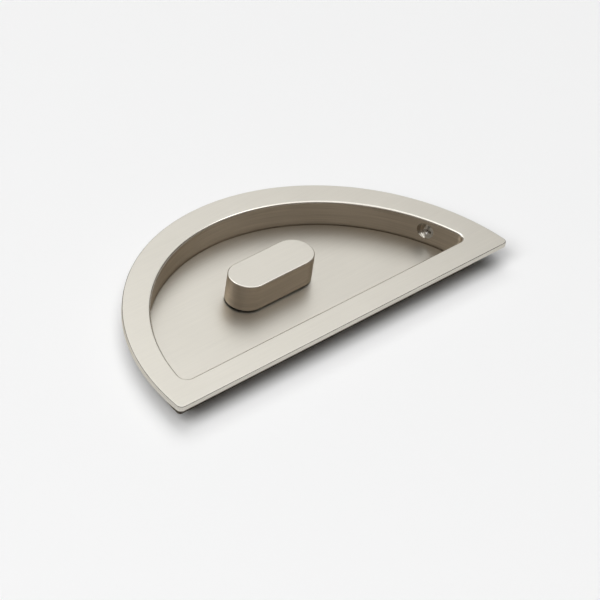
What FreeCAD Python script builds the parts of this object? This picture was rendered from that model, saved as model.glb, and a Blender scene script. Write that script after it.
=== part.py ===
import FreeCAD, Part
import math
import os
from FreeCAD import Rotation, Vector

# Half-moon flush pull with a privacy turn, for a pocket door. Millimetres.
# The turn's axis is the Z axis, the back of the plate is z = 0 and the straight edge faces -Y.

# Half-moon trim
FLANGE_RADIUS = 80.0
MEETING_GAP = 3.6           # between the straight edges of a pair of pulls on doors that meet
RIM_WIDTH = 10.0            # flange face, from the outline to the finger recess
LIP_WIDTH = 7.0             # part of the flange that laps over the door
FLANGE_THICKNESS = 2.0
RECESS_DEPTH = 10.0
TIP_RADIUS = 2.0            # the flange's two tips, seen from the front
OPENING_CORNER = 3.0        # the recess's two corners
BODY_CORNER = 1.0
MOUTH_ROUND = 0.35          # the recess's front edge, where fingers pull
FACE_BEVEL = 0.3            # the flange's front edge
BACK_BEVEL = 0.2            # the flange's back edge

# Back plate
PLATE_THICKNESS = 1.2
PLATE_EDGE = 0.7            # thickness under the wall
LAND_CLEARANCE = 0.12       # round the part of the plate that drops inside the wall
SEAM_BEVEL = 0.15

# Privacy turn
KNOB_LENGTH = 37.0
KNOB_WIDTH = 14.6
KNOB_HEIGHT = 10.5
KNOB_GAP = 0.6              # filled by the thrust washer
KNOB_BEVEL = 0.35           # front edge
KNOB_BACK_BEVEL = 0.15
TURN_TRAVEL = 90.0          # degrees

# Shaft and bush
SOCKET_SIDE = 5.05          # for a 5 mm square spindle
SOCKET_DEPTH = 4.25
SHAFT_DIAMETER = 8.6
COLLAR_STEP = 0.6           # radial, from the shaft to its collar
COLLAR_THICKNESS = 0.7
COLLAR_SETBACK = 0.15       # from the plate's back to the collar
RUNNING_CLEARANCE = 0.05    # radial, between shaft and bush
COLLAR_CLEARANCE = 0.1      # radial
BUSH_WALL = 0.6             # round the collar's bore
BUSH_HEIGHT = 4.8
NECK_WALL = 0.8             # round the stop's pocket
BUSH_FLANGE_STEP = 1.0      # radial, from the plate's hole to the flange behind it
BUSH_FLANGE_THICKNESS = 0.5
SHOULDER_CLEARANCE = 0.4    # from the bush's top to the knob's seat on the shaft
TENON_SIDE = 6.0
TENON_HEIGHT = 2.4
TENON_CLEARANCE = 0.05
POCKET_CLEARANCE = 0.2      # round the bush and over the tenon, inside the knob

# Stop between collar and bush
LUG_REACH = 0.8
LUG_ANGLE = 24.0            # degrees
STOP_PLAY = 1.0             # degrees left at each end of the travel
LUG_CLEARANCE = 0.1

# Disc spring and thrust washer
SPRING_HEIGHT = 0.55
SPRING_THICKNESS = 0.25
WASHER_CLEARANCE = 0.15     # round the bush
WASHER_INSET = 0.2          # from the knob's long sides

# Knob screw
KNOB_SCREW_DIAMETER = 2.5
KNOB_SCREW_HEAD = 4.4
KNOB_SCREW_LENGTH = 5.0
KNOB_SCREW_PLAY = 0.1
THREAD_CLEARANCE = 0.02
TAPPED_SPARE = 0.5          # hole beyond the screw's end

# Fixing screws, through the curved wall into the door
SCREW_BEARING = 23.0        # degrees up from the straight edge, about the arc's centre
SCREW_DEPTH = 4.8           # below the flange's face, where the axis meets the wall
SCREW_TILT = 15.0           # degrees towards the back
SCREW_DIAMETER = 3.0
SCREW_HEAD = 5.6
SCREW_LENGTH = 6.5
SCREW_POINT = 2.0
SCREW_PLAY = 0.2
HEAD_POCKET = 6.0           # counterbore in the wall
HEAD_POCKET_DEPTH = 1.0

# Cross recess of a screw, as shares of its head's diameter
CROSS_LENGTH = 0.62
CROSS_WIDTH = 0.17
CROSS_DEPTH = 0.24
CROSS_TAPER = 0.35          # size at the bottom over size at the top

# Places that follow from the sizes
FACE_Z = PLATE_THICKNESS + RECESS_DEPTH
FLANGE_BACK_Z = FACE_Z - FLANGE_THICKNESS
EDGE_Y = -(FLANGE_RADIUS - MEETING_GAP / 2) / 2
ARC_Y = EDGE_Y - MEETING_GAP / 2
SHAFT_COLLAR = SHAFT_DIAMETER + 2 * COLLAR_STEP
COLLAR_TOP = COLLAR_SETBACK + COLLAR_THICKNESS
COLLAR_BORE = SHAFT_COLLAR + 2 * COLLAR_CLEARANCE
SPRING_TOP = COLLAR_TOP + SPRING_HEIGHT
SOCKET_TOP = COLLAR_SETBACK + SOCKET_DEPTH
BUSH_BORE = SHAFT_DIAMETER + 2 * RUNNING_CLEARANCE
BUSH_OUTSIDE = COLLAR_BORE + 2 * BUSH_WALL
STOP_POCKET = SHAFT_COLLAR + 2 * (LUG_REACH + LUG_CLEARANCE)
PLATE_HOLE = STOP_POCKET + 2 * NECK_WALL
BUSH_FLANGE = PLATE_HOLE + 2 * BUSH_FLANGE_STEP
SHOULDER_Z = BUSH_HEIGHT + SHOULDER_CLEARANCE
TENON_TOP = SHOULDER_Z + TENON_HEIGHT
KNOB_BACK_Z = PLATE_THICKNESS + KNOB_GAP
KNOB_FACE_Z = KNOB_BACK_Z + KNOB_HEIGHT

ORIGIN = Vector(0, 0, 0)
UP = Vector(0, 0, 1)


def across(point):
    """The point mirrored to the other side of the half-moon's middle."""
    return Vector(-point.x, point.y, point.z)


def half_moon(inset, corner, low, high):
    """A half-moon prism, its outline the inset inside the flange's, with rounded corners."""
    radius = FLANGE_RADIUS - inset
    centre_y = EDGE_Y + inset + corner
    centre_x = math.sqrt((radius - corner) ** 2 - (centre_y - ARC_Y) ** 2)
    centre = Vector(centre_x, centre_y, low)
    down = Vector(0, -1, 0)
    outward = Vector(centre_x, centre_y - ARC_Y, 0).normalize()
    halfway = (outward + down).normalize()
    on_line = centre + down * corner
    on_corner = centre + halfway * corner
    on_arc = centre + outward * corner
    crown = Vector(0, ARC_Y + radius, low)
    line = Part.makeLine(across(on_line), on_line)
    right = Part.Arc(on_line, on_corner, on_arc).toShape()
    arc = Part.Arc(on_arc, crown, across(on_arc)).toShape()
    left = Part.Arc(across(on_arc), across(on_corner), across(on_line)).toShape()
    return Part.Face(Part.Wire([line, right, arc, left])).extrude(UP * (high - low))


def outline_edges(shape, inset, corner, height):
    """The edges at a height that follow the outline with this inset and corner radius."""
    found = []
    for edge in shape.Edges:
        box = edge.BoundBox
        middle = edge.valueAt((edge.FirstParameter + edge.LastParameter) / 2)
        from_arc = FLANGE_RADIUS - math.hypot(middle.x, middle.y - ARC_Y)
        from_line = middle.y - EDGE_Y
        depth = min(from_arc, from_line) - inset
        level = max(abs(box.ZMin - height), abs(box.ZMax - height)) < 0.001
        if level and -0.001 < depth < corner / 2:
            found.append(edge)
    return found


def turned(profile):
    """A solid of revolution about Z, from its (radius, height) points in order."""
    points = [Vector(radius, 0, height) for radius, height in profile]
    face = Part.Face(Part.makePolygon(points + points[:1]))
    return face.revolve(ORIGIN, UP, 360)


def tube(inside, outside, low, high):
    """A ring between two diameters."""
    bore = inside / 2
    outer = outside / 2
    return turned([(bore, low), (outer, low), (outer, high), (bore, high)])


def rod(diameter, low, high):
    """A round bar on the Z axis."""
    return Part.makeCylinder(diameter / 2, high - low, Vector(0, 0, low))


def square_bar(side, low, high):
    """A square bar on the Z axis."""
    return Part.makeBox(side, side, high - low, Vector(-side / 2, -side / 2, low))


def slice_of_rod(diameter, low, high, start, sweep):
    """The part of a round bar between two bearings, in degrees from X."""
    piece = Part.makeCylinder(diameter / 2, high - low, Vector(0, 0, low), UP, sweep)
    return piece.rotate(ORIGIN, UP, start)


def cross_outline(length, width, height):
    """The outline of a cross with its arms along X and Y."""
    arm = length / 2
    half = width / 2
    points = []
    for quarter in range(4):
        spin = Rotation(UP, 90 * quarter)
        for x, y in ((arm, -half), (arm, half), (half, half)):
            points.append(spin.multVec(Vector(x, y, height)))
    return Part.makePolygon(points + points[:1])


def countersunk_screw(diameter, head, length, point):
    """A screw along Z, its head's face at z = 0 and its shank towards -Z."""
    cone = (head - diameter) / 2
    outline = [(0, 0), (head / 2, 0), (diameter / 2, -cone), (diameter / 2, point - length), (0, -length)]
    mouth = cross_outline(head * CROSS_LENGTH, head * CROSS_WIDTH, 0)
    bottom = cross_outline(
        head * CROSS_LENGTH * CROSS_TAPER, head * CROSS_WIDTH * CROSS_TAPER, -head * CROSS_DEPTH
    )
    recess = Part.makeLoft([mouth, bottom], True, True)
    return turned(outline).cut(recess)


def countersink(diameter, head, reach):
    """The hole for such a screw: its head's cone, and a bore of this diameter beyond."""
    cone = (head - diameter) / 2
    return turned([(0, 0), (head / 2, 0), (diameter / 2, -cone), (diameter / 2, -reach), (0, -reach)])


def at_fixing_screw(shape, side):
    """A shape made along Z, laid on one fixing screw's axis with its +Z towards the recess."""
    bearing = math.radians(SCREW_BEARING)
    wall_radius = FLANGE_RADIUS - RIM_WIDTH
    x = wall_radius * math.cos(bearing)
    y = ARC_Y + wall_radius * math.sin(bearing)
    laid = shape.copy()
    laid.rotate(ORIGIN, Vector(0, 1, 0), SCREW_TILT - 90)
    laid.translate(Vector(x, y, FACE_Z - SCREW_DEPTH))
    if side < 0:
        laid = laid.mirror(ORIGIN, Vector(1, 0, 0))
    return laid


def rim():
    """Flange and wall, machined in one piece, with a countersunk hole at each end of the wall."""
    flange = half_moon(0, TIP_RADIUS, FLANGE_BACK_Z, FACE_Z)
    front = outline_edges(flange, 0, TIP_RADIUS, FACE_Z)
    flange = flange.makeChamfer(FACE_BEVEL, front)
    back = outline_edges(flange, 0, TIP_RADIUS, FLANGE_BACK_Z)
    flange = flange.makeChamfer(BACK_BEVEL, back)
    wall = half_moon(LIP_WIDTH, BODY_CORNER, PLATE_EDGE, FACE_Z - FLANGE_THICKNESS / 2)
    seam = outline_edges(wall, LIP_WIDTH, BODY_CORNER, PLATE_EDGE)
    wall = wall.makeChamfer(SEAM_BEVEL, seam)
    recess = half_moon(RIM_WIDTH, OPENING_CORNER, PLATE_EDGE - 1, FACE_Z + 1)
    body = flange.fuse(wall).cut(recess).removeSplitter()
    mouth = outline_edges(body, RIM_WIDTH, OPENING_CORNER, FACE_Z)
    body = body.makeFillet(MOUTH_ROUND, mouth)
    for side in (1, -1):
        pocket = rod(HEAD_POCKET, -HEAD_POCKET_DEPTH, RIM_WIDTH)
        hole = countersink(SCREW_DIAMETER + 2 * SCREW_PLAY, HEAD_POCKET, RIM_WIDTH)
        hole.translate(UP * -HEAD_POCKET_DEPTH)
        body = body.cut(at_fixing_screw(pocket.fuse(hole), side))
    return body


def back_plate():
    """The floor of the recess: a plate behind the wall, its middle dropped inside the wall."""
    plate = half_moon(LIP_WIDTH, BODY_CORNER, 0, PLATE_EDGE)
    for height in (0, PLATE_EDGE):
        edges = outline_edges(plate, LIP_WIDTH, BODY_CORNER, height)
        plate = plate.makeChamfer(SEAM_BEVEL, edges)
    inset = RIM_WIDTH + LAND_CLEARANCE
    land = half_moon(inset, OPENING_CORNER - LAND_CLEARANCE, PLATE_EDGE / 2, PLATE_THICKNESS)
    plate = plate.fuse(land).removeSplitter()
    plate = plate.cut(rod(PLATE_HOLE, -1, PLATE_THICKNESS + 1))
    return plate.cut(rod(BUSH_FLANGE, -1, BUSH_FLANGE_THICKNESS))


def bearing_bush():
    """The shaft's bearing, pressed into the plate from behind, with the stop's pocket in it."""
    bush = rod(BUSH_FLANGE, 0, BUSH_FLANGE_THICKNESS)
    bush = bush.fuse(rod(PLATE_HOLE, 0, PLATE_THICKNESS))
    bush = bush.fuse(rod(BUSH_OUTSIDE, 0, BUSH_HEIGHT)).removeSplitter()
    bush = bush.cut(rod(BUSH_BORE, -1, BUSH_HEIGHT + 1))
    bush = bush.cut(rod(COLLAR_BORE, -1, SPRING_TOP))
    start = -LUG_ANGLE / 2 - STOP_PLAY
    sweep = TURN_TRAVEL + LUG_ANGLE + 2 * STOP_PLAY
    pocket = slice_of_rod(STOP_POCKET, -1, COLLAR_TOP + LUG_CLEARANCE, start, sweep)
    return bush.cut(pocket)


def disc_spring():
    """A dished ring between the shaft's collar and the bush, which gives the turn its drag."""
    low = SHAFT_COLLAR / 2
    high = SHAFT_DIAMETER / 2 + COLLAR_CLEARANCE
    dish = SPRING_HEIGHT - SPRING_THICKNESS
    profile = [
        (low, COLLAR_TOP),
        (low, COLLAR_TOP + SPRING_THICKNESS),
        (high, COLLAR_TOP + SPRING_THICKNESS + dish),
        (high, COLLAR_TOP + dish),
    ]
    return turned(profile)


def thrust_washer():
    """The slippery ring that the knob turns on."""
    inside = BUSH_OUTSIDE + 2 * WASHER_CLEARANCE
    return tube(inside, KNOB_WIDTH - 2 * WASHER_INSET, PLATE_THICKNESS, KNOB_BACK_Z)


def knob_screw():
    """The screw up the socket that holds the knob to the shaft."""
    screw = countersunk_screw(KNOB_SCREW_DIAMETER, KNOB_SCREW_HEAD, KNOB_SCREW_LENGTH, 0)
    screw.rotate(ORIGIN, Vector(1, 0, 0), 180)
    screw.translate(UP * SOCKET_TOP)
    return screw


def turn_shaft():
    """The shaft: collar and stop lug, spindle socket behind, square tenon in front."""
    shaft = rod(SHAFT_DIAMETER, COLLAR_SETBACK, SHOULDER_Z)
    shaft = shaft.fuse(rod(SHAFT_COLLAR, COLLAR_SETBACK, COLLAR_TOP))
    lug_size = SHAFT_COLLAR + 2 * LUG_REACH
    lug = slice_of_rod(lug_size, COLLAR_SETBACK, COLLAR_TOP, -LUG_ANGLE / 2, LUG_ANGLE)
    shaft = shaft.fuse(lug)
    shaft = shaft.fuse(square_bar(TENON_SIDE, SOCKET_TOP, TENON_TOP)).removeSplitter()
    shaft = shaft.cut(square_bar(SOCKET_SIDE, COLLAR_SETBACK - 1, SOCKET_TOP))
    hole = countersink(KNOB_SCREW_DIAMETER + 2 * KNOB_SCREW_PLAY, KNOB_SCREW_HEAD, TENON_TOP)
    hole.rotate(ORIGIN, Vector(1, 0, 0), 180)
    hole.translate(UP * SOCKET_TOP)
    return shaft.cut(hole)


def stadium(length, width, low, high):
    """A bar with round ends, along X."""
    end = length / 2 - width / 2
    side = width / 2
    near = Vector(end, -side, low)
    tip = Vector(length / 2, 0, low)
    far = Vector(end, side, low)
    right = Part.Arc(near, tip, far).toShape()
    left = Part.Arc(across(far), across(tip), across(near)).toShape()
    back = Part.makeLine(far, across(far))
    front = Part.makeLine(across(near), near)
    return Part.Face(Part.Wire([front, right, back, left])).extrude(UP * (high - low))


def level_edges(shape, height):
    """The edges that lie at a height."""
    edges = []
    for edge in shape.Edges:
        box = edge.BoundBox
        if max(abs(box.ZMin - height), abs(box.ZMax - height)) < 0.001:
            edges.append(edge)
    return edges


def knob():
    """The turn, hollowed behind for the bush, the tenon and its screw."""
    bar = stadium(KNOB_LENGTH, KNOB_WIDTH, KNOB_BACK_Z, KNOB_FACE_Z)
    bar = bar.makeChamfer(KNOB_BEVEL, level_edges(bar, KNOB_FACE_Z))
    bar = bar.makeChamfer(KNOB_BACK_BEVEL, level_edges(bar, KNOB_BACK_Z))
    bar = bar.cut(rod(BUSH_OUTSIDE + 2 * POCKET_CLEARANCE, KNOB_BACK_Z - 1, SHOULDER_Z))
    side = TENON_SIDE + 2 * TENON_CLEARANCE
    bar = bar.cut(square_bar(side, KNOB_BACK_Z, TENON_TOP + POCKET_CLEARANCE))
    tapped = KNOB_SCREW_DIAMETER + 2 * THREAD_CLEARANCE
    screw_end = SOCKET_TOP + KNOB_SCREW_LENGTH
    return bar.cut(rod(tapped, KNOB_BACK_Z, screw_end + TAPPED_SPARE))


def fixing_screws():
    """The two screws that hold the pull in the door."""
    screws = []
    for side in (1, -1):
        screw = countersunk_screw(SCREW_DIAMETER, SCREW_HEAD, SCREW_LENGTH, SCREW_POINT)
        seat = HEAD_POCKET_DEPTH + (HEAD_POCKET - SCREW_HEAD) / 2
        screw.translate(UP * -seat)
        screws.append(at_fixing_screw(screw, side))
    return Part.makeCompound(screws)


def write(name, shape):
    """One STEP file for a sub-part."""
    shape.exportStep("parts/" + name + ".step")
    box = shape.BoundBox
    print(name, len(shape.Solids), "solid(s)", round(shape.Volume, 2), "mm3, z", round(box.ZMin, 2), round(box.ZMax, 2))


os.makedirs("parts", exist_ok=True)
for make in (rim, back_plate, bearing_bush, turn_shaft, disc_spring, thrust_washer, knob, knob_screw, fixing_screws):
    write(make.__name__, make())
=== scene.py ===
"""Dresses a half-moon flush pull with a privacy turn: brushed shells, bearing, screws, floor and light."""

import math

import bmesh
import bpy
import numpy as np
from bpy.props import FloatProperty, FloatVectorProperty, IntProperty, PointerProperty
from mathutils import Matrix, Quaternion, Vector


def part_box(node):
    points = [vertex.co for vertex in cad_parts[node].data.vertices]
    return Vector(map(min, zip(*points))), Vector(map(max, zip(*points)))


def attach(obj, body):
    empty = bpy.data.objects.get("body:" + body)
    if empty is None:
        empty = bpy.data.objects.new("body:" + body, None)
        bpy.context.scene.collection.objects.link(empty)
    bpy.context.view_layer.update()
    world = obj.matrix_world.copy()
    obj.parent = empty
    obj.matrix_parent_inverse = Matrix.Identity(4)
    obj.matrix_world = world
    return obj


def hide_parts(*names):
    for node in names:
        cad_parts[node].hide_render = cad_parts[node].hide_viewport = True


bl_info = {
    "name": "Half-moon flush pull",
    "version": (1, 0, 0),
    "blender": (4, 5, 0),
    "location": "View3D > Sidebar > Flush pull",
    "description": "Builds the pull's brushed rim, plate, turn, bearing and screws round its solids",
    "category": "Object",
}

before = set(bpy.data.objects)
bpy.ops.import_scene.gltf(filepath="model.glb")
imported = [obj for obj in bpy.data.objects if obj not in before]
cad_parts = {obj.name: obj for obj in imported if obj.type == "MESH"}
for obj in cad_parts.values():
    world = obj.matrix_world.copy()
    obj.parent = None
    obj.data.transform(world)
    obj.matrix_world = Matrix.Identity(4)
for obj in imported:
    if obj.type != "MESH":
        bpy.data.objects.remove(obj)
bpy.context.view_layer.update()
LOW = {name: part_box(name)[0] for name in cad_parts}
HIGH = {name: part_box(name)[1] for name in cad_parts}

MM = 0.001
BRUSH_MAP = "brush"         # the UV map whose U runs along the brushing, in metres
SUPPORT = 0.03 * MM         # from a rounding to the loop that keeps the flat beside it flat
CRISP = 0.05 * MM           # radius of an edge that is only broken
MERGE = 0.0001 * MM         # points closer than this are one
TINY = 1e-9                 # stands in for a zero divisor
SHARP = math.radians(34)    # edges that turn further than this stay crisp

OUTLINE_STEPS = 120, 20, 240    # points on the straight edge, a corner and the arc
THREAD_ROWS = 150
RIDGE_POWER = 1.5               # sharpens a thread's ridge
POINT_POWER = 0.8               # rounds a screw's point
POINT_TIP = 0.02                # size of the point's end over its root
SQUARE_CORNERS = np.radians([45, 135, 225, 315])

FINE_STREAKS = 22 * MM, 0.3 * MM    # length and width of the nickel's brushing
COARSE_STREAKS = 40 * MM, 1.6 * MM
FLAT_SWING = 0.025, 0.01        # how far fine and coarse streaks change a flat face's tone
UPRIGHT_SWING = 0.1, 0.07
ROUGHNESS_SWING = 0.02
# Features per metre in the noises of the other marks
NICKEL_CLOUD = 38
TURNED_CLOUD, TURNED_LINES = 300, 12000
SCREW_CLOUD, SCREW_DIMPLES = 700, 4000
NYLON_CLOUD, NYLON_GRAIN = 500, 5000
PAPER_GRAIN = 900

# How far a surface's normal points up, from -1 to 1, where the nickel's colour, painted shade and highlight
# included, and its roughness change from one to the next
BACK_TO_UPRIGHT = -0.5, -0.2
# Faces that point down within this range are darkened as painted shade
BACK_PAINTED_SHADE = -0.9, -0.4
UPRIGHT_TO_ROUNDED = 0.35, 0.7
INTO_ROUNDED = 0.4, 0.65
ROUNDED_TO_FLAT = 0.88, 0.98
RIM_OUTSIDE = 24 * MM, 28 * MM  # distance of a face's plane from the turn's axis

# Soft boxes that only light the floor: setting, azimuth, elevation and half width, in degrees
FLOOR_BOXES = (
    ("floor_high", 215, 66, 20),
    ("floor_low", 192, 45, 14),
    ("floor_back", 75, 72, 21),
)
FLOOR_BOX_DISTANCE = 8.0
# Soft boxes that only the metal reflects: setting, azimuth, elevation, distance, half width and half height
METAL_BOXES = (
    ("overhead", 0, 90, 1.2, 36, 36),
    ("behind", 74, 54, 0.55, 38, 24),
    ("beside", 118, 40, 0.8, 22, 24),
    ("front", -18, 56, 1.2, 10, 10),
)
FLOOR_RADIUS = 1.6
FLOOR_DROP = 0.05 * MM      # keeps the floor clear of the plate that lies on it
BACKDROP_FADE = 1.45        # height at which the backdrop has faded out, over its own
CAMERA_PLACE = Vector((-1.0899, -0.9451, 1.1107))
CAMERA_AIM = Vector((-0.0052, -0.0200, 0.0112))


def length(name, value, description):
    """A length in metres, as a property."""
    return FloatProperty(name=name, description=description, default=value, unit="LENGTH")


def angle(name, degrees, description):
    """An angle, as a property."""
    return FloatProperty(name=name, description=description, default=math.radians(degrees), subtype="ANGLE")


def colour(name, value, description):
    """A colour, as a property."""
    return FloatVectorProperty(name=name, description=description, default=value, subtype="COLOR")


def share(name, value, description):
    """A number from 0 up, as a property."""
    return FloatProperty(name=name, description=description, default=value, min=0, subtype="FACTOR")


class TrimSizes(bpy.types.PropertyGroup):
    """Sizes of the rim and the back plate."""

    flange_radius: length("Flange radius", 80 * MM, "Outer radius of the half-moon's arc")
    meeting_gap: length("Meeting gap", 3.6 * MM, "Gap between the straight edges of a pair of pulls")
    rim_width: length("Rim width", 10 * MM, "Flange face, from the outline to the recess")
    lip_width: length("Lip width", 7 * MM, "Part of the flange over the door's face")
    flange_thickness: length("Flange thickness", 2 * MM, "Thickness of the flange")
    tip_radius: length("Tip radius", 2 * MM, "Corner radius of the flange's two tips")
    opening_corner: length("Opening corner", 3 * MM, "Corner radius of the recess")
    body_corner: length("Body corner", 1 * MM, "Corner radius of the wall's outside")
    front_round: length("Front round", 0.3 * MM, "Rounding of the flange's front edge")
    back_round: length("Back round", 0.2 * MM, "Rounding of the flange's back edge")
    mouth_round: length("Mouth round", 0.85 * MM, "Rounding of the recess's front edge")
    seam_round: length("Seam round", 0.15 * MM, "Rounding of the seam under the wall")
    land_clearance: length("Land clearance", 0.38 * MM, "Gap round the plate's land")


class TurnSizes(bpy.types.PropertyGroup):
    """Sizes of the knob and its bearing."""

    knob_round: length("Knob round", 0.45 * MM, "Rounding of the knob's front edge")
    knob_back_round: length("Knob back round", 0.15 * MM, "Rounding of the knob's back edge")
    pocket_clearance: length("Pocket clearance", 0.2 * MM, "Gap round the bush inside the knob")
    shaft_diameter: length("Shaft diameter", 8.6 * MM, "Diameter of the shaft in its bush")
    running_clearance: length("Running clearance", 0.05 * MM, "Radial gap between shaft and bush")
    collar_step: length("Collar step", 0.6 * MM, "Radial step from the shaft to its collar")
    collar_clearance: length("Collar clearance", 0.1 * MM, "Gap round the collar")
    lug_reach: length("Lug reach", 0.8 * MM, "Reach of the stop lug from the collar")
    lug_angle: angle("Lug angle", 24, "Angle that the stop lug fills")
    stop_play: angle("Stop play", 1, "Angle left at each end of the travel")
    bush_wall: length("Bush wall", 0.6 * MM, "Wall round the collar's bore")
    neck_wall: length("Neck wall", 0.8 * MM, "Wall round the stop's pocket")
    flange_thickness: length("Bush flange", 0.5 * MM, "Thickness of the bush's flange")
    socket_side: length("Socket side", 5.05 * MM, "Side of the spindle's square socket")
    tenon_side: length("Tenon side", 6 * MM, "Side of the square tenon in the knob")
    tenon_height: length("Tenon height", 2.4 * MM, "Height of the square tenon")
    tenon_clearance: length("Tenon clearance", 0.05 * MM, "Gap at each side of the tenon")
    washer_play: length("Washer play", 0.15 * MM, "Gap between the washer and the bush's body")
    spring_thickness: length("Spring thickness", 0.25 * MM, "Thickness of the disc spring")


class ScrewSizes(bpy.types.PropertyGroup):
    """Sizes and places of the screws."""

    bearing: angle("Bearing", 23, "Fixing screw's place on the arc, up from the straight edge")
    tilt: angle("Tilt", 15, "Fixing screw's tilt towards the back")
    depth: length("Depth", 4.8 * MM, "From the flange's face to the screw's axis at the wall")
    diameter: length("Diameter", 3 * MM, "Diameter of the fixing screws")
    head: length("Head", 5.6 * MM, "Diameter of the fixing screws' heads")
    shank: length("Length", 6.5 * MM, "Length of the fixing screws")
    point: length("Point", 2 * MM, "Length of the fixing screws' points")
    play: length("Play", 0.2 * MM, "Radial gap round a fixing screw in the wall")
    pocket: length("Pocket", 6 * MM, "Diameter of the counterbore in the wall")
    pocket_depth: length("Pocket depth", 1 * MM, "Depth of the counterbore")
    pitch: length("Pitch", 1.05 * MM, "Pitch of the fixing screws' thread")
    knob_diameter: length("Knob screw diameter", 2.5 * MM, "Diameter of the knob's screw")
    knob_head: length("Knob screw head", 4.4 * MM, "Diameter of the knob screw's head")
    knob_shank: length("Knob screw length", 5 * MM, "Length of the knob's screw")
    knob_play: length("Knob screw play", 0.1 * MM, "Radial gap round it in the shaft")
    knob_pitch: length("Knob screw pitch", 0.45 * MM, "Pitch of the knob screw's thread")
    tap_play: length("Tap play", 0.02 * MM, "Radial gap round it in the knob")
    tap_end: length("Tap end", 0.5 * MM, "Depth of the tapped hole past its screw")
    thread_depth: share("Thread depth", 0.16, "Height of the threads over the screw's diameter")
    run_out: length("Run-out", 0.3 * MM, "Plain part between a thread and the head's cone")
    cross_length: share("Cross length", 0.62, "Length of the recess over the head's diameter")
    cross_width: share("Cross width", 0.17, "Width of its arms over the head's diameter")
    cross_depth: share("Cross depth", 0.24, "Depth of the recess over the head's diameter")
    cross_taper: share("Cross taper", 0.35, "Size of its bottom over that of its top")


class Finishes(bpy.types.PropertyGroup):
    """Colours and roughness of the metals and the washer."""

    nickel: colour("Satin nickel", (0.70, 0.685, 0.63), "Brushed rim, plate and knob")
    # Painted shade: the walls and the knob's sides get this darker, warmer colour in place of the shade and
    # dim reflections they show
    nickel_painted_side_shade: colour("Nickel sides", (0.52, 0.45, 0.37), "The walls and the knob's sides")
    nickel_edge: colour("Nickel edge", (0.75, 0.70, 0.62), "The nickel seen along its surface")
    # Painted shade: below this level the rim's outside is darkened
    lip_level: length("Lip level", HIGH["rim"].z - 2 * MM, "Below it the rim's outside is as cast")
    nickel_roughness: share("Nickel roughness", 0.40, "Mean roughness of the brushed nickel")
    edge_roughness: share("Edge roughness", 0.12, "Mean roughness of the nickel's rounded edges")
    nickel_grain: share("Nickel grain", 0.35, "How much rougher the nickel is across the brushing")
    # Painted highlight: the rounded edges are made lighter than the flat faces
    edge_painted_highlight: share("Edge tone", 1.15, "Tone of rounded edges over that of flat faces")
    # Painted shade: the flange's outer rounding is made darker, as a dark line
    rim_edge_painted_shade: share("Rim edge tone", 0.3, "The same of the flange's outer edge")
    # Painted shade on faces that point down
    back_painted_shade: share("Back tone", 0.4, "Tone of back faces over that of the rest")
    # Painted shade below the lip, standing in for the flange's shadow on the body
    under_lip_painted_shade: share("Cast tone", 0.4, "Tone below the lip over that of upright faces")
    # A little painted shade on the flange's outside
    flange_outside_painted_shade: share("Flange tone", 0.95, "Tone of the flange's outside over that of its face")
    # Share of that painted side shade left on the flange's outside
    flange_share_of_side_shade: share("Flange side", 0.2, "Share of the sides' colour on the flange's outside")
    brass: colour("Brass", (0.72, 0.56, 0.30), "Turned brass of the bush")
    steel: colour("Steel", (0.56, 0.56, 0.56), "Steel of the shaft and the spring")
    brass_roughness: share("Brass roughness", 0.28, "Roughness of the brass, which its lines vary")
    steel_roughness: share("Steel roughness", 0.34, "Roughness of the steel, which its lines vary")
    bright: colour("Bright steel", (0.80, 0.79, 0.77), "Plated steel of the screws")
    nylon: colour("Nylon", (0.008, 0.008, 0.008), "Black nylon of the thrust washer")


class StudioSettings(bpy.types.PropertyGroup):
    """Floor, light and camera."""

    floor: colour("Floor", (0.93, 0.93, 0.93), "Colour of the floor")
    surround: colour("Surround", (0.16, 0.14, 0.12), "The dim room that the metal reflects")
    floor_high: share("Floor high", 0.375, "Light on the floor from high at the front left")
    floor_low: share("Floor low", 0.40, "Light on the floor from lower at the left")
    floor_back: share("Floor back", 0.34, "Light on the floor from high behind")
    overhead: share("Overhead", 0.86, "The metal's soft box above")
    behind: share("Behind", 0.88, "The metal's soft box behind on the right")
    beside: share("Beside", 0.45, "The metal's soft box behind on the left")
    front: share("Front", 1.2, "The metal's small soft box at the front right")
    backdrop: angle("Backdrop", 6, "How high the pale backdrop behind the floor rises")
    lens: FloatProperty(name="Lens", description="Focal length, in millimetres", default=311.55, min=1)
    roll: angle("Roll", 8.893, "Turn of the camera about its own axis")
    facets: IntProperty(name="Floor facets", description="Facets round the floor's edge", default=96, min=8)


def edge_y(trim):
    """Height in Y of the flange's straight edge: half the arc's height below the turn's axis."""
    return -(trim.flange_radius - trim.meeting_gap / 2) / 2


def arc_y(trim):
    """Height in Y of the arc's centre."""
    return edge_y(trim) - trim.meeting_gap / 2


def half_moon(section, trim):
    """Half-moon outlines, a row of points for each (inset, height, corner radius) of a section.

    A row is a straight line along X, an arc about (0, arc_y) whose radius is the flange's less the inset,
    and between them two corner arcs, whose centres lie the corner radius inside both.
    """
    inset, height, corner = section.T[:, :, None]
    radius = trim.flange_radius - inset
    low = edge_y(trim) + inset
    rise = low + corner - arc_y(trim)
    reach = np.sqrt((radius - corner) ** 2 - rise ** 2)
    lean = np.arctan2(rise, reach)
    quarter = math.pi / 2
    along, turn, bend = (np.linspace(0, 1, steps, endpoint=False) for steps in OUTLINE_STEPS)
    right = turn * (lean + quarter) - quarter
    arc = lean + bend * (math.pi - 2 * lean)
    left = math.pi - lean + turn * (lean + quarter)
    x = np.hstack([
        (2 * along - 1) * reach,
        reach + corner * np.cos(right),
        radius * np.cos(arc),
        corner * np.cos(left) - reach,
    ])
    y = np.hstack([
        low + 0 * along,
        low + corner + corner * np.sin(right),
        arc_y(trim) + radius * np.sin(arc),
        low + corner + corner * np.sin(left),
    ])
    return np.stack([x, y, height + 0 * x], -1)


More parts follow.
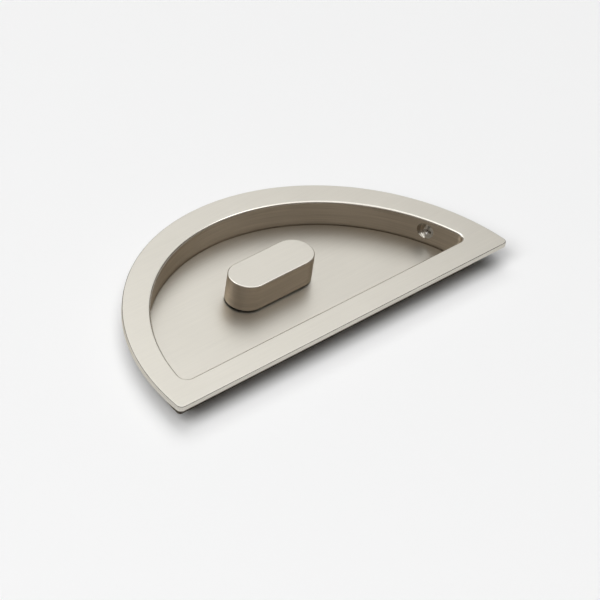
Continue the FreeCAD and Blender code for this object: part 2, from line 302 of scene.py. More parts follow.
def rounded(corners, steps=7):
    """A closed profile with its corners rounded, as columns of inset, height and corner radius.

    Each corner is (inset, height, corner radius seen from the front, rounding). Its arc touches both
    neighbouring sides, and its points are spread evenly in angle between the two directions from the arc's
    centre. The front corner radius falls as the inset grows, as in outlines that run parallel. A point a
    little way along each side keeps the flat beside the arc flat.
    """
    corners = np.asarray(corners, float)
    place = corners[:, :2]
    radius = corners[:, 3][:, None]
    back = np.roll(place, 1, 0) - place
    ahead = np.roll(place, -1, 0) - place
    back /= np.linalg.norm(back, axis=1, keepdims=True)
    ahead /= np.linalg.norm(ahead, axis=1, keepdims=True)
    opening = np.arccos(np.clip((back * ahead).sum(1, keepdims=True), -1, 1))
    touch = radius / np.tan(opening / 2)
    middle = back + ahead
    middle /= np.linalg.norm(middle, axis=1, keepdims=True)
    centre = place + middle * radius / np.sin(opening / 2)
    first = (place + back * touch - centre)[:, None]
    last = (place + ahead * touch - centre)[:, None]
    bend = (math.pi - opening)[:, :, None]
    part = np.linspace(0, 1, steps)[None, :, None]
    arc = (np.sin((1 - part) * bend) * first + np.sin(part * bend) * last) / np.sin(bend)
    start = (place + back * (touch + SUPPORT))[:, None]
    end = (place + ahead * (touch + SUPPORT))[:, None]
    points = np.concatenate([start, centre[:, None] + arc, end], 1)
    corner = corners[:, 2][:, None] + corners[:, 0][:, None] - points[:, :, 0]
    return np.concatenate([points, corner[:, :, None]], 2).reshape(-1, 3)


def settled(mesh):
    """The mesh with its doubles merged, no sliver left, its faces pointing outwards and shaded smooth."""
    work = bmesh.new()
    work.from_mesh(mesh)
    bmesh.ops.remove_doubles(work, verts=work.verts, dist=MERGE)
    bmesh.ops.dissolve_degenerate(work, edges=work.edges, dist=MERGE)
    bmesh.ops.recalc_face_normals(work, faces=work.faces)
    work.to_mesh(mesh)
    work.free()
    mesh.shade_smooth()
    mesh.set_sharp_from_angle(angle=SHARP)
    return mesh


def skin(name, rows, closed=True):
    """A mesh over rows of points: each is joined to the next in its row and to its like in the next row.

    Rows close on themselves, and where closed the last row joins the first. On bands that lie level the UV
    map is the place in X and Y; elsewhere it is the way along the row and the way across the rows.
    """
    count, around = rows.shape[:2]
    bands = count if closed else count - 1
    band = np.arange(bands)[:, None, None]
    step = np.arange(around)[None, :, None]
    down = np.array([0, 0, 1, 1])
    over = np.array([0, 1, 1, 0])
    corner = (band + down) % count * around + (step + over) % around
    wrapped = np.pad(rows, ((0, 1), (0, 1), (0, 0)), mode="wrap")
    along = np.linalg.norm(np.diff(wrapped, axis=1), axis=2).cumsum(1)
    along = np.pad(along, ((0, 0), (1, 0)))
    across = np.linalg.norm(np.diff(wrapped, axis=0), axis=2).mean(1).cumsum()
    across = np.pad(across, (1, 0))
    run = np.stack([along[band + down, step + over], across[band + down] + 0 * (step + over)], -1)
    place = wrapped[band + down, step + over, :2]
    level = abs(np.diff(wrapped[:, :, 2], axis=0)).max(1) < MERGE
    uv = np.where(level[:bands, None, None, None], place, run)
    mesh = bpy.data.meshes.new(name)
    mesh.from_pydata(rows.reshape(-1, 3), [], corner.reshape(-1, 4))
    mesh.uv_layers.new(name=BRUSH_MAP).data.foreach_set("uv", uv.astype(np.float32).ravel())
    return settled(mesh)


def angles(steps=192, start=0.0, sweep=0.0, crisp=()):
    """Angles once round the axis, and which of them belong to a sector.

    The two ends of the sector come twice, and crisp angles come among the others.
    """
    turn = 2 * math.pi
    part = max(3, round(steps * sweep / turn)) if sweep else 0
    inside = np.linspace(start, start + sweep, part)
    outside = np.linspace(start + sweep, start + turn, steps, endpoint=bool(sweep))
    extra = (np.asarray(crisp, float) - start - sweep) % turn + start + sweep
    outside = np.union1d(outside, extra[extra < start + turn])
    around = np.concatenate([inside, outside])
    return around, np.arange(len(around)) < len(inside)


def square(side, around):
    """Distance from the axis to a square's side: half the side over the larger of |cos| and |sin|."""
    return side / 2 / np.maximum(abs(np.cos(around)), abs(np.sin(around)))


def stadium(bar_length, width, around):
    """Distance from the axis to the outline of a bar with round ends.

    Where the ray meets a long side it is half the width over |sin|; elsewhere it is where the ray meets the
    circle about the end's centre.
    """
    half = width / 2
    end = bar_length / 2 - half
    cos = abs(np.cos(around))
    sin = np.maximum(abs(np.sin(around)), TINY)
    side = half / sin
    tip = end * cos + np.sqrt(np.maximum(half ** 2 - (end * sin) ** 2, 0))
    return np.where(side * cos <= end, side, tip)


def spun(name, around, rings, closed=True):
    """A mesh from rings about the axis, each a distance from it, or one for each angle, and a height."""
    distance = np.array([reach + 0 * around for reach, _ in rings])
    height = np.array([high + 0 * around for _, high in rings])
    rows = np.stack([distance * np.cos(around), distance * np.sin(around), height], -1)
    return skin(name, rows, closed)


def new_object(name, mesh):
    """An object for the mesh, in the scene."""
    thing = bpy.data.objects.new(name, mesh)
    bpy.context.scene.collection.objects.link(thing)
    return thing


def carved(mesh, cutter):
    """The mesh less the cutter's, with the cut's edges left crisp."""
    target = new_object("carving", mesh)
    tool = new_object("cutter", cutter)
    modifier = target.modifiers.new("Cut", "BOOLEAN")
    modifier.operation = "DIFFERENCE"
    modifier.solver = "EXACT"
    modifier.object = tool
    result = bpy.data.meshes.new_from_object(target.evaluated_get(bpy.context.evaluated_depsgraph_get()))
    bpy.data.objects.remove(target)
    bpy.data.objects.remove(tool)
    bpy.data.meshes.remove(cutter)
    bpy.data.meshes.remove(mesh)
    return settled(result)


def joined(meshes):
    """One mesh that holds all of these."""
    work = bmesh.new()
    for mesh in meshes:
        work.from_mesh(mesh)
    whole = bpy.data.meshes.new("joined")
    work.to_mesh(whole)
    work.free()
    return whole


def dressed(node, mesh, slot, body):
    """The finished piece: it has its slot's material, rides on its body and stands for its node."""
    mesh.name = node + "_shell"
    mesh.materials.clear()
    mesh.materials.append(finish(slot))
    thing = new_object(node + "_shell", mesh)
    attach(thing, body)
    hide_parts(node)
    return thing


def cross_cutter(head, screws):
    """A cross that narrows downwards from a little above a screw's face, for its recess."""
    depth = head * screws.cross_depth
    above = depth / 4
    growth = 1 + (1 - screws.cross_taper) * above / depth
    arm, half = head * screws.cross_length / 2, head * screws.cross_width / 2
    quarter = np.array([[arm, -half], [arm, half], [half, half]])
    turns = np.radians([0, 90, 180, 270])
    spins = np.array([[np.cos(turns), -np.sin(turns)], [np.sin(turns), np.cos(turns)]])
    outline = np.einsum("ijq,pj->qpi", spins, quarter).reshape(-1, 2)
    levels = [(0, above), (growth, above), (screws.cross_taper, -depth), (0, -depth)]
    rows = [np.column_stack([outline * size, np.full(len(outline), high)]) for size, high in levels]
    return skin("cross", np.array(rows), closed=False)


def countersunk_screw(diameter, head, shank, point, pitch, screws):
    """A countersunk screw along Z, its head's face at zero and its thread below, with a cross recess.

    Below the head's cone the radius is the core's plus the thread's height times a power of a triangle wave
    of the height over the pitch less the angle's share of a turn, so that the ridge climbs once a turn. It
    fades out in the last half pitch before the neck, and the whole shrinks to the point.
    """
    around, _ = angles(72)
    rod, edge = diameter / 2, head / 2
    cone = edge - rod
    neck = -cone - screws.run_out
    depth = screws.thread_depth * diameter
    height = np.linspace(-shank, neck, THREAD_ROWS)[:, None]
    wave = (height / pitch - around / (2 * math.pi)) % 1
    ridge = (1 - 2 * np.minimum(wave, 1 - wave)) ** RIDGE_POWER
    fade = np.clip((neck - height) / (0.5 * pitch), 0, 1)
    taper = np.clip((height + shank) / point, POINT_TIP, 1) ** POINT_POWER if point else 1.0
    radius = (rod - depth + depth * (ridge * fade + 1 - fade)) * taper
    broken = 0.06 * MM
    rings = [
        (0.0, -shank), *zip(radius, height[:, 0]),
        (rod, -cone - broken), (rod + broken, -cone + broken),
        (edge - broken, -2 * broken), (edge, -broken), (edge, -broken / 2),
        (edge - broken / 2, 0.0), (edge - 2 * broken, 0.0), (0.0, 0.0),
    ]
    return carved(spun("screw", around, rings, closed=False), cross_cutter(head, screws))


def fixing_place(side, trim, screws):
    """The matrix that lays something made along Z on a fixing screw's axis, its +Z towards the recess."""
    wall = trim.flange_radius - trim.rim_width
    place = Vector((
        side * wall * math.cos(screws.bearing),
        arc_y(trim) + wall * math.sin(screws.bearing),
        HIGH["rim"].z - screws.depth,
    ))
    return Matrix.Translation(place) @ Matrix.Rotation(side * (screws.tilt - math.pi / 2), 4, "Y")


class Nodes:
    """The nodes of a material or a world, added one after another and linked by name."""

    def __init__(self, owner):
        owner.use_nodes = True
        self.tree = owner.node_tree

    def fill(self, node, values):
        """Gives the node's sockets these values."""
        for key, value in dict(values).items():
            node.inputs[key].default_value = value
        return node

    def add(self, kind, values=(), **settings):
        """A node of this kind with its settings and its sockets' values."""
        node = self.tree.nodes.new("ShaderNode" + kind)
        for key, value in settings.items():
            setattr(node, key, value)
        return self.fill(node, values)

    def link(self, source, target):
        """Links an output to an input."""
        self.tree.links.new(source, target)

    def apart(self, vector):
        """The vector's X, Y and Z."""
        node = self.add("SeparateXYZ")
        self.link(vector, node.inputs[0])
        return node.outputs

    def noise(self, vector, scale, detail=2.0):
        """Noise over the vector, mostly from 0.3 to 0.7."""
        node = self.add("TexNoise", {"Scale": scale, "Detail": detail})
        self.link(vector, node.inputs["Vector"])
        return node.outputs["Fac"]

    def stretched(self, vector, along, across):
        """The vector scaled so that a noise of scale 1 has features of these two lengths."""
        node = self.add("Mapping", {"Scale": (1 / along, 1 / across, 1 / across)})
        self.link(vector, node.inputs["Vector"])
        return node.outputs["Vector"]

    def span(self, noise, low, high):
        """A noise spread over a range."""
        return self.ramp(noise, 0.3, 0.7, low, high)

    def varied(self, noise, swing, middle=1.0):
        """A noise spread this far to both sides of a middle value."""
        return self.span(noise, middle - swing, middle + swing)

    def ramp(self, value, start, end, low, high):
        """A value's stretch from start to end carried over to low to high, and held beyond it."""
        node = self.add("MapRange", {"From Min": start, "From Max": end, "To Min": low, "To Max": high})
        self.link(value, node.inputs["Value"])
        return node.outputs["Result"]

    def mixed(self, part, first, second):
        """The first value, and the second where part is 1."""
        node = self.add("Mix")
        self.link(part, node.inputs[0])
        self.link(first, node.inputs[2])
        self.link(second, node.inputs[3])
        return node.outputs[0]

    def product(self, value, *others):
        """The values multiplied."""
        for other in others:
            node = self.add("Math", operation="MULTIPLY")
            self.link(value, node.inputs[0])
            self.link(other, node.inputs[1])
            value = node.outputs[0]
        return value

    def shade(self, part, first, second):
        """The first colour, and the second where part is 1."""
        node = self.add("Mix", {6: (*first, 1), 7: (*second, 1)}, data_type="RGBA")
        self.link(part, node.inputs[0])
        return node.outputs[2]


class Surface(Nodes):
    """A new material's nodes, with its shader's values."""

    def __init__(self, name, values=()):
        self.material = bpy.data.materials.new("shell_" + name)
        super().__init__(self.material)
        self.shader = self.fill(self.tree.nodes["Principled BSDF"], values)

    def colour(self, base, factor):
        """Gives the shader a colour, plain or an output, times a factor that varies over the surface."""
        node = self.add("VectorMath", operation="SCALE")
        if isinstance(base, bpy.types.NodeSocket):
            self.link(base, node.inputs[0])
        else:
            node.inputs[0].default_value = base
        self.link(factor, node.inputs["Scale"])
        self.link(node.outputs["Vector"], self.shader.inputs["Base Color"])

    def relief(self, height, distance):
        """Bends the shader's normal by a height in metres."""
        node = self.add("Bump", {"Distance": distance})
        self.link(height, node.inputs["Height"])
        self.link(node.outputs["Normal"], self.shader.inputs["Normal"])


def satin_nickel(finishes):
    """Brushed nickel: long fine streaks along U in tone, roughness and height, under a faint cloudy tone.

    Upright faces are more streaked than flat ones and take a darker, warmer colour as painted shade; the
    rounded edges between them are smooth and made lighter as a painted highlight, and the flange's outer
    rounding darker as a painted shade line. Faces that point down are darker as painted shade, and the
    rim's outside is darker as painted shade, strongly below its lip and a little on the flange.
    """
    nodes = Surface("satin_nickel", {
        "Metallic": 1.0, "Anisotropic": finishes.nickel_grain, "Anisotropic Rotation": 0.25,
        "Specular Tint": (*finishes.nickel_edge, 1),
    })
    brush = nodes.add("UVMap", uv_map=BRUSH_MAP).outputs["UV"]
    tangent = nodes.add("Tangent", direction_type="UV_MAP", uv_map=BRUSH_MAP)
    nodes.link(tangent.outputs["Tangent"], nodes.shader.inputs["Tangent"])
    fine = nodes.noise(nodes.stretched(brush, *FINE_STREAKS), 1.0, 4.0)
    coarse = nodes.noise(nodes.stretched(brush, *COARSE_STREAKS), 1.0)
    place = nodes.add("TexCoord")
    cloud = nodes.noise(place.outputs["Object"], NICKEL_CLOUD)
    up = nodes.apart(place.outputs["Normal"])["Z"]
    height = nodes.apart(place.outputs["Object"])["Z"]
    upright = nodes.product(
        nodes.ramp(up, *BACK_TO_UPRIGHT, 0, 1), nodes.ramp(up, *UPRIGHT_TO_ROUNDED, 1, 0)
    )
    edge = nodes.product(nodes.ramp(up, *INTO_ROUNDED, 0, 1), nodes.ramp(up, *ROUNDED_TO_FLAT, 1, 0))
    away = nodes.add("VectorMath", operation="DOT_PRODUCT")
    nodes.link(place.outputs["Object"], away.inputs[0])
    nodes.link(place.outputs["Normal"], away.inputs[1])
    outer = nodes.ramp(away.outputs["Value"], *RIM_OUTSIDE, 0, 1)
    # The rim's outside is darkened as painted shade: strongly below the lip, a little on the flange
    lip = finishes.lip_level - 0.2 * MM, finishes.lip_level
    outside = nodes.ramp(height, *lip, finishes.under_lip_painted_shade, finishes.flange_outside_painted_shade)
    flange = nodes.product(outer, nodes.ramp(height, *lip, 0, 1))
    # Mask of the painted shade colour: upright faces, less of it on the flange's outside
    side = nodes.product(upright, nodes.ramp(flange, 0, 1, 1, finishes.flange_share_of_side_shade))
    # Painted highlight on the rounded edges, and a painted shade line on the flange's outer rounding
    rounding = nodes.mixed(outer, *(
        nodes.ramp(edge, 0, 1, 1, tone) for tone in (finishes.edge_painted_highlight, finishes.rim_edge_painted_shade)
    ))
    streaks = [
        nodes.mixed(upright, nodes.varied(noise, flat), nodes.varied(noise, steep))
        for noise, flat, steep in zip((fine, coarse), FLAT_SWING, UPRIGHT_SWING)
    ]
    # The tone: random streaks and cloud, the painted highlight and shade of the rounded edges, and painted
    # shade on faces that point down
    tone = nodes.product(
        *streaks, nodes.span(cloud, 0.985, 1.012), rounding,
        nodes.ramp(up, *BACK_PAINTED_SHADE, finishes.back_painted_shade, 1),
    )
    # Outer faces take that painted shade
    tone = nodes.mixed(outer, tone, nodes.product(tone, outside))
    # Upright faces take the darker painted shade colour
    nodes.colour(nodes.shade(side, finishes.nickel, finishes.nickel_painted_side_shade), tone)
    flat, smooth = (
        nodes.varied(fine, ROUGHNESS_SWING, mean)
        for mean in (finishes.nickel_roughness, finishes.edge_roughness)
    )
    nodes.link(nodes.mixed(edge, flat, smooth), nodes.shader.inputs["Roughness"])
    nodes.relief(fine, 0.001 * MM)
    return nodes.material


def turned_metal(name, base, roughness):
    """Turned metal: fine rings about the axis in tone, roughness and height, under a cloudy tone."""
    nodes = Surface(name, {"Metallic": 1.0})
    place = nodes.add("TexCoord").outputs["Object"]
    apart = nodes.apart(place)
    level = nodes.add("CombineXYZ")
    nodes.link(apart["X"], level.inputs["X"])
    nodes.link(apart["Y"], level.inputs["Y"])
    reach = nodes.add("VectorMath", operation="LENGTH")
    nodes.link(level.outputs["Vector"], reach.inputs[0])
    groove = nodes.add("CombineXYZ")
    nodes.link(reach.outputs["Value"], groove.inputs["X"])
    nodes.link(apart["Z"], groove.inputs["Z"])
    lines = nodes.noise(groove.outputs["Vector"], TURNED_LINES)
    cloud = nodes.noise(place, TURNED_CLOUD)
    nodes.colour(base, nodes.product(nodes.span(lines, 0.93, 1.05), nodes.span(cloud, 0.97, 1.02)))
    nodes.link(nodes.span(lines, roughness - 0.05, roughness + 0.08), nodes.shader.inputs["Roughness"])
    nodes.relief(lines, 0.004 * MM)
    return nodes.material


def bright_steel(finishes):
    """Plated screw steel: bright, faintly clouded, with fine dimples from the barrel plating."""
    nodes = Surface("screw_steel", {"Metallic": 1.0})
    place = nodes.add("TexCoord").outputs["Object"]
    cloud = nodes.noise(place, SCREW_CLOUD)
    nodes.colour(finishes.bright, nodes.span(cloud, 0.92, 1.0))
    nodes.link(nodes.span(cloud, 0.2, 0.12), nodes.shader.inputs["Roughness"])
    nodes.relief(nodes.noise(place, SCREW_DIMPLES), 0.003 * MM)
    return nodes.material


def black_nylon(finishes):
    """Moulded nylon: matt, with a fine grain and a slightly worn tone."""
    nodes = Surface("black_nylon")
    place = nodes.add("TexCoord").outputs["Object"]
    grain = nodes.noise(place, NYLON_GRAIN)
    nodes.colour(finishes.nylon, nodes.span(nodes.noise(place, NYLON_CLOUD), 0.8, 1.3))
    nodes.link(nodes.span(grain, 0.5, 0.65), nodes.shader.inputs["Roughness"])
    nodes.relief(grain, 0.006 * MM)
    return nodes.material


def finish(slot):
    """The slot's material, made the first time that a piece asks for it."""
    finishes = bpy.context.scene.pull_finishes
    makers = {
        "satin_nickel": lambda: satin_nickel(finishes),
        "bush_brass": lambda: turned_metal("bush_brass", finishes.brass, finishes.brass_roughness),
        "plain_steel": lambda: turned_metal("plain_steel", finishes.steel, finishes.steel_roughness),
        "screw_steel": lambda: bright_steel(finishes),
        "black_nylon": lambda: black_nylon(finishes),
    }
    return bpy.data.materials.get("shell_" + slot) or makers[slot]()


def collar_bore(turn):
    """Radius of the bush's bore round the shaft's collar."""
    return turn.shaft_diameter / 2 + turn.collar_step + turn.collar_clearance


class FLUSHPULL_OT_rim(bpy.types.Operator):
    """Build the rim: flange, finger recess's wall and the two countersunk holes in it"""

    bl_idname = "flushpull.rim"
    bl_label = "Rim"

    def execute(self, context):
        """Carries a rounded section round the half-moon, then drills the wall."""
        trim, screws = context.scene.pull_trim, context.scene.pull_screws
        face, foot = HIGH["rim"].z, LOW["rim"].z
        back = face - trim.flange_thickness
        lip, rim = trim.lip_width, trim.rim_width
        section = rounded([
            (0.0, face, trim.tip_radius, trim.front_round),
            (rim, face, trim.opening_corner, trim.mouth_round),
            (rim, foot, trim.opening_corner, CRISP),
            (lip, foot, trim.body_corner, trim.seam_round),
            (lip, back, trim.body_corner, CRISP),
            (0.0, back, trim.tip_radius, trim.back_round),
        ])
        mesh = skin("rim", half_moon(section, trim))
        wide, bore = screws.pocket / 2, screws.diameter / 2 + screws.play
        deep = -screws.pocket_depth
        cone = deep - wide + bore
        rings = [(0.0, rim), (wide, rim), (wide, deep), (bore, cone), (bore, -rim), (0.0, -rim)]
        for side in (1, -1):
            drill = spun("drill", angles(64)[0], rings, closed=False)
            drill.transform(fixing_place(side, trim, screws))
            mesh = carved(mesh, drill)
        dressed("rim", mesh, "satin_nickel", "trim")
        return {"FINISHED"}


class FLUSHPULL_OT_back_plate(bpy.types.Operator):
    """Build the back plate: the floor of the recess and the edge that shows under the wall"""

    bl_idname = "flushpull.back_plate"
    bl_label = "Back plate"

    def execute(self, context):
        """Joins half-moon outlines with circles round the bush's hole, angle by angle."""
        trim, turn = context.scene.pull_trim, context.scene.pull_turn
        low, edge, top = LOW["back_plate"].z, LOW["rim"].z, LOW["thrust_washer"].z
        land = trim.rim_width + trim.land_clearance
        land_corner = trim.opening_corner - trim.land_clearance
        middle = 2 * trim.rim_width
        section = rounded([
            (middle, low, 0.0, CRISP),
            (trim.lip_width, low, trim.body_corner, trim.seam_round),
            (trim.lip_width, edge, trim.body_corner, trim.seam_round),
            (land, edge, land_corner, CRISP),
            (land, top, land_corner, CRISP),
            (middle, top, 0.0, CRISP),
        ])
        each = len(section) // 6
        outside = half_moon(section[each:-each], trim)
        around = np.arctan2(outside[-1, :, 1], outside[-1, :, 0])
        flange = HIGH["bearing_bush"].x
        hole = collar_bore(turn) + turn.lug_reach + turn.neck_wall
        step = low + turn.flange_thickness
        rings = [
            (hole + CRISP, top), (hole, top - CRISP), (hole, step), (flange, step),
            (flange, low + CRISP), (flange + CRISP, low),
        ]
        inside = [
            np.column_stack([reach * np.cos(around), reach * np.sin(around), np.full(len(around), high)])
            for reach, high in rings
        ]
        mesh = skin("back_plate", np.concatenate([outside, inside]))
        dressed("back_plate", mesh, "satin_nickel", "trim")
        return {"FINISHED"}


class FLUSHPULL_OT_bush(bpy.types.Operator):
    """Build the bearing bush with the stop's pocket in it"""

    bl_idname = "flushpull.bush"
    bl_label = "Bearing bush"

    def execute(self, context):
        """Spins the bush's section, the pocket's sector wider than the rest."""
        turn = context.scene.pull_turn
        low, high = LOW["bearing_bush"].z, HIGH["bearing_bush"].z
        step, seat = low + turn.flange_thickness, LOW["thrust_washer"].z
        bore = turn.shaft_diameter / 2 + turn.running_clearance
        recess = collar_bore(turn)
        pocket = recess + turn.lug_reach
        neck = pocket + turn.neck_wall
        body = recess + turn.bush_wall
        flange = HIGH["bearing_bush"].x
        collar_top = LOW["disc_spring"].z
        pocket_top = collar_top + turn.collar_clearance
        sweep = turn.lug_angle + 2 * turn.stop_play + math.pi / 2
        around, inside = angles(240, -turn.lug_angle / 2 - turn.stop_play, sweep)
        wide = np.where(inside, pocket, recess)
        rings = [
            (flange - CRISP, low), (flange, low + CRISP), (flange, step), (neck, step),
            (neck, seat - CRISP), (neck - CRISP, seat), (body, seat),
            (body, high - 2 * CRISP), (body - 2 * CRISP, high),
            (bore + 2 * CRISP, high), (bore, high - 2 * CRISP),
            (bore, HIGH["disc_spring"].z), (recess, HIGH["disc_spring"].z),
            (recess, pocket_top), (wide, pocket_top), (wide, low + CRISP), (wide + CRISP, low),
        ]
        dressed("bearing_bush", spun("bush", around, rings), "bush_brass", "trim")
        return {"FINISHED"}


class FLUSHPULL_OT_shaft(bpy.types.Operator):
    """Build the shaft: collar and stop lug, spindle socket behind, square tenon in front"""

    bl_idname = "flushpull.shaft"
    bl_label = "Shaft"

    def execute(self, context):
        """Spins the shaft's section, whose lug, socket and tenon reach out by the angle."""
        turn, screws = context.scene.pull_turn, context.scene.pull_screws
        low, high = LOW["turn_shaft"].z, HIGH["turn_shaft"].z
        seat = LOW["knob_screw"].z
        rod = turn.shaft_diameter / 2
        collar_top = LOW["disc_spring"].z
        shoulder = high - turn.tenon_height
        around, inside = angles(240, -turn.lug_angle / 2, turn.lug_angle, SQUARE_CORNERS)
        collar = rod + turn.collar_step + np.where(inside, turn.lug_reach, 0.0)
        socket = square(turn.socket_side, around)
        tenon = square(turn.tenon_side, around)
        mouth = screws.knob_head / 2
        bore = screws.knob_diameter / 2 + screws.knob_play
        rings = [
            (socket + CRISP, low), (socket, low + CRISP), (socket, seat), (mouth, seat),
            (bore, seat + mouth - bore), (bore, high - CRISP), (bore + CRISP, high),
            (tenon - 3 * CRISP, high), (tenon, high - 3 * CRISP), (tenon, shoulder),
            (rod - 2 * CRISP, shoulder), (rod, shoulder - 2 * CRISP), (rod, collar_top),
            (collar - CRISP, collar_top), (collar, collar_top - CRISP),
            (collar, low + CRISP), (collar - CRISP, low),
        ]
        dressed("turn_shaft", spun("shaft", around, rings), "plain_steel", "turn")
        return {"FINISHED"}


class FLUSHPULL_OT_spring(bpy.types.Operator):
    """Build the disc spring that gives the turn its drag"""

    bl_idname = "flushpull.spring"
    bl_label = "Disc spring"

    def execute(self, context):
        """Spins a dished section."""
        turn = context.scene.pull_turn
        low, high = LOW["disc_spring"].z, HIGH["disc_spring"].z
        wide = turn.shaft_diameter / 2 + turn.collar_step
        narrow = turn.shaft_diameter / 2 + turn.collar_clearance
        thick = turn.spring_thickness
        rings = [
            (wide - CRISP, low), (wide, low + CRISP),
            (wide, low + thick - CRISP), (wide - CRISP, low + thick),
            (narrow + CRISP, high), (narrow, high - CRISP),
            (narrow, high - thick + CRISP), (narrow + CRISP, high - thick),
        ]
        dressed("disc_spring", spun("spring", angles(160)[0], rings), "plain_steel", "trim")
        return {"FINISHED"}


class FLUSHPULL_OT_washer(bpy.types.Operator):
    """Build the thrust washer that the knob turns on"""

    bl_idname = "flushpull.washer"
    bl_label = "Thrust washer"

    def execute(self, context):
        """Spins a rectangle with broken edges."""
        turn = context.scene.pull_turn
        low, high, wide = LOW["thrust_washer"].z, HIGH["thrust_washer"].z, HIGH["thrust_washer"].x
        narrow = collar_bore(turn) + turn.bush_wall + turn.washer_play
        rings = [
            (narrow + CRISP, low), (wide - CRISP, low), (wide, low + CRISP), (wide, high - CRISP),
            (wide - CRISP, high), (narrow + CRISP, high), (narrow, high - CRISP), (narrow, low + CRISP),
        ]
        dressed("thrust_washer", spun("washer", angles(160)[0], rings), "black_nylon", "trim")
        return {"FINISHED"}


class FLUSHPULL_OT_knob(bpy.types.Operator):
    """Build the knob: an oblong bar, hollowed behind for the bush, the tenon and its screw"""

    bl_idname = "flushpull.knob"
    bl_label = "Knob"

    def execute(self, context):
        """Joins bars with round ends to the circles and squares of the pocket, angle by angle."""
        turn, screws = context.scene.pull_turn, context.scene.pull_screws
        low, high = LOW["knob"].z, HIGH["knob"].z
        bar_length, width = 2 * HIGH["knob"].x, 2 * HIGH["knob"].y
        tangent = math.atan2(width, bar_length - width)
        crisp = [*SQUARE_CORNERS, tangent, math.pi - tangent, math.pi + tangent, -tangent]
        around, _ = angles(480, crisp=crisp)
        middle = width / 4
        section = rounded([
            (middle, high, 0, CRISP),
            (0.0, high, 0, turn.knob_round),
            (0.0, low, 0, turn.knob_back_round),
            (middle, low, 0, CRISP),
        ])
        each = len(section) // 4
        rings = [(0.0, high)]
        rings += [(stadium(bar_length - 2 * inset, width - 2 * inset, around), level)
                  for inset, level, _ in section[each:-each]]
        pocket = collar_bore(turn) + turn.bush_wall + turn.pocket_clearance
        seat = HIGH["turn_shaft"].z - turn.tenon_height
        hole = square(turn.tenon_side + 2 * turn.tenon_clearance, around)
        tenon_top = HIGH["turn_shaft"].z + turn.pocket_clearance
        tapped = screws.knob_diameter / 2 + screws.tap_play
        tap_end = HIGH["knob_screw"].z + screws.tap_end
        rings += [
            (pocket + 2 * CRISP, low), (pocket, low + 2 * CRISP), (pocket, seat),
            (hole, seat), (hole, tenon_top),
            (tapped, tenon_top), (tapped, tap_end), (0.0, tap_end),
        ]
        dressed("knob", spun("knob", around, rings, closed=False), "satin_nickel", "turn")
        return {"FINISHED"}


class FLUSHPULL_OT_knob_screw(bpy.types.Operator):
    """Build the screw up the socket that holds the knob"""

    bl_idname = "flushpull.knob_screw"
    bl_label = "Knob screw"

    def execute(self, context):
        """Turns a machine screw over, so that its head faces back."""
        screws = context.scene.pull_screws
        mesh = countersunk_screw(
            screws.knob_diameter, screws.knob_head, screws.knob_shank, 0, screws.knob_pitch, screws
        )
        mesh.transform(Matrix.Translation((0, 0, LOW["knob_screw"].z)) @ Matrix.Rotation(math.pi, 4, "X"))
        dressed("knob_screw", mesh, "screw_steel", "turn")
        return {"FINISHED"}


class FLUSHPULL_OT_fixing_screws(bpy.types.Operator):
    """Build the two screws that hold the pull in the door"""

    bl_idname = "flushpull.fixing_screws"
    bl_label = "Fixing screws"

    def execute(self, context):
        """Lays a wood screw in each of the wall's holes."""
        trim, screws = context.scene.pull_trim, context.scene.pull_screws
        seat = screws.pocket_depth + (screws.pocket - screws.head) / 2
        pair = []
        for side in (1, -1):
            mesh = countersunk_screw(
                screws.diameter, screws.head, screws.shank, screws.point, screws.pitch, screws
            )
            mesh.transform(fixing_place(side, trim, screws) @ Matrix.Translation((0, 0, -seat)))
            pair.append(mesh)
        dressed("fixing_screws", settled(joined(pair)), "screw_steel", "trim")
        return {"FINISHED"}


def toward(azimuth, elevation):
    """The direction with this azimuth, turned from +X, and this elevation, both in degrees."""
    around, up = math.radians(azimuth), math.radians(elevation)
    return Vector((math.cos(up) * math.cos(around), math.cos(up) * math.sin(around), math.sin(up)))


def lamp(name, direction, distance, across, upright, brightness):
    """A lamp that faces the object, its power its brightness times pi and its area.

    Its half width and half height are given as angles, in degrees.
    """
    light = bpy.data.lights.new(name, "AREA")
    light.shape = "RECTANGLE"
    light.size = 2 * distance * math.tan(math.radians(across))
    light.size_y = 2 * distance * math.tan(math.radians(upright))
    light.energy = brightness * math.pi * light.size * light.size_y
    thing = new_object(name, light)
    thing.location = direction * distance
    thing.rotation_euler = (-direction).to_track_quat("-Z", "Y").to_euler()
    thing.visible_camera = False
    return thing


def floor_box(name, direction, spread, part):
    """A far soft box that only lights the floor, and gives it this part of its own colour."""
    opening = math.tan(math.radians(spread))
    brightness = part * math.pi / (4 * opening ** 2 * direction.z)
    lamp(name, direction, FLOOR_BOX_DISTANCE, spread, spread, brightness).visible_glossy = False


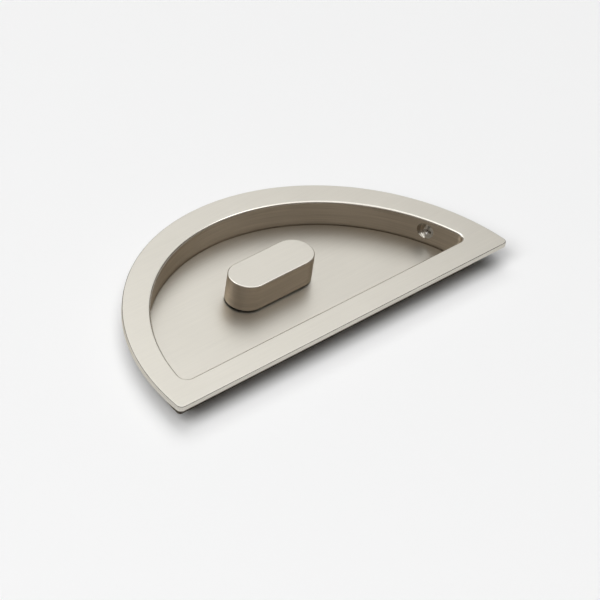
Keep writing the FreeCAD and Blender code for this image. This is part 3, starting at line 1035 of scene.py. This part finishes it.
class FLUSHPULL_OT_stage(bpy.types.Operator):
    """Set up the floor, the soft boxes, the dim room and the camera"""

    bl_idname = "flushpull.stage"
    bl_label = "Stage"

    def execute(self, context):
        """Lays a pale floor just under the plate, and looks from the front left."""
        studio = context.scene.pull_studio
        self.lay_floor(studio)
        self.light_room(context.scene, studio)
        for name, azimuth, elevation, spread in FLOOR_BOXES:
            floor_box(name, toward(azimuth, elevation), spread, getattr(studio, name))
        for name, azimuth, elevation, distance, across, upright in METAL_BOXES:
            box = lamp(name, toward(azimuth, elevation), distance, across, upright, getattr(studio, name))
            box.visible_diffuse = False
        self.set_camera(context.scene, studio)
        context.scene.view_settings.view_transform = "Standard"
        return {"FINISHED"}

    def lay_floor(self, studio):
        """A big pale disc."""
        around = np.linspace(0, 2 * math.pi, studio.facets, endpoint=False)
        rim = FLOOR_RADIUS * np.cos(around), FLOOR_RADIUS * np.sin(around)
        points = np.column_stack([*rim, np.full(len(around), -FLOOR_DROP)])
        mesh = bpy.data.meshes.new("floor")
        mesh.from_pydata(points, [], [list(range(len(points)))])
        nodes = Surface("floor_paper", {"Roughness": 0.9, "Specular IOR Level": 0.0})
        grain = nodes.noise(nodes.add("TexCoord").outputs["Object"], PAPER_GRAIN)
        nodes.colour(studio.floor, nodes.span(grain, 0.998, 1.002))
        mesh.materials.append(nodes.material)
        new_object("floor", mesh)

    def light_room(self, scene, studio):
        """A pale backdrop all round, under a room that the metal sees dim and the camera white."""
        world = scene.world = bpy.data.worlds.new("room")
        nodes = Nodes(world)
        height = nodes.apart(nodes.add("TexCoord").outputs["Generated"])["Z"]
        fade = math.sin(studio.backdrop), math.sin(BACKDROP_FADE * studio.backdrop)
        seen = nodes.shade(nodes.ramp(height, *fade, 0, 1), studio.floor, studio.surround)
        room = nodes.tree.nodes["Background"]
        path = nodes.add("LightPath").outputs
        white = nodes.add("Background", {"Color": (*studio.floor, 1)})
        mix = nodes.add("MixShader")
        nodes.link(seen, room.inputs["Color"])
        nodes.link(path["Is Glossy Ray"], room.inputs["Strength"])
        nodes.link(path["Is Camera Ray"], mix.inputs[0])
        nodes.link(room.outputs[0], mix.inputs[1])
        nodes.link(white.outputs[0], mix.inputs[2])
        nodes.link(mix.outputs[0], nodes.tree.nodes["World Output"].inputs["Surface"])

    def set_camera(self, scene, studio):
        """A long lens, high at the front left, turned a little about its axis."""
        camera = bpy.data.cameras.new("camera")
        camera.lens = studio.lens
        thing = new_object("camera", camera)
        thing.location = CAMERA_PLACE
        level = (CAMERA_AIM - CAMERA_PLACE).to_track_quat("-Z", "Y")
        thing.rotation_euler = (level @ Quaternion((0, 0, 1), studio.roll)).to_euler()
        scene.camera = thing


class FLUSHPULL_PT_sidebar(bpy.types.Panel):
    """Lists the pieces in the order that they are built"""

    bl_idname = "FLUSHPULL_PT_sidebar"
    bl_label = "Flush pull"
    bl_space_type = "VIEW_3D"
    bl_region_type = "UI"
    bl_category = "Flush pull"

    def draw(self, context):
        """One button for each operator."""
        for operator in OPERATORS:
            self.layout.operator(operator.bl_idname)


OPERATORS = (
    FLUSHPULL_OT_rim,
    FLUSHPULL_OT_back_plate,
    FLUSHPULL_OT_bush,
    FLUSHPULL_OT_shaft,
    FLUSHPULL_OT_spring,
    FLUSHPULL_OT_washer,
    FLUSHPULL_OT_knob,
    FLUSHPULL_OT_knob_screw,
    FLUSHPULL_OT_fixing_screws,
    FLUSHPULL_OT_stage,
)
SETTINGS = {
    "pull_trim": TrimSizes,
    "pull_turn": TurnSizes,
    "pull_screws": ScrewSizes,
    "pull_finishes": Finishes,
    "pull_studio": StudioSettings,
}


def register():
    """Registers the classes and hangs the settings on the scene."""
    for group in (*SETTINGS.values(), *OPERATORS, FLUSHPULL_PT_sidebar):
        bpy.utils.register_class(group)
    for name, group in SETTINGS.items():
        setattr(bpy.types.Scene, name, PointerProperty(type=group))


def unregister():
    """Takes the settings and the classes away again."""
    for name in SETTINGS:
        delattr(bpy.types.Scene, name)
    for group in reversed((*SETTINGS.values(), *OPERATORS, FLUSHPULL_PT_sidebar)):
        bpy.utils.unregister_class(group)


def main():
    """Builds every piece and the stage."""
    register()
    for operator in OPERATORS:
        getattr(bpy.ops.flushpull, operator.bl_idname.split(".")[1])()


if __name__ == "__main__":
    main()
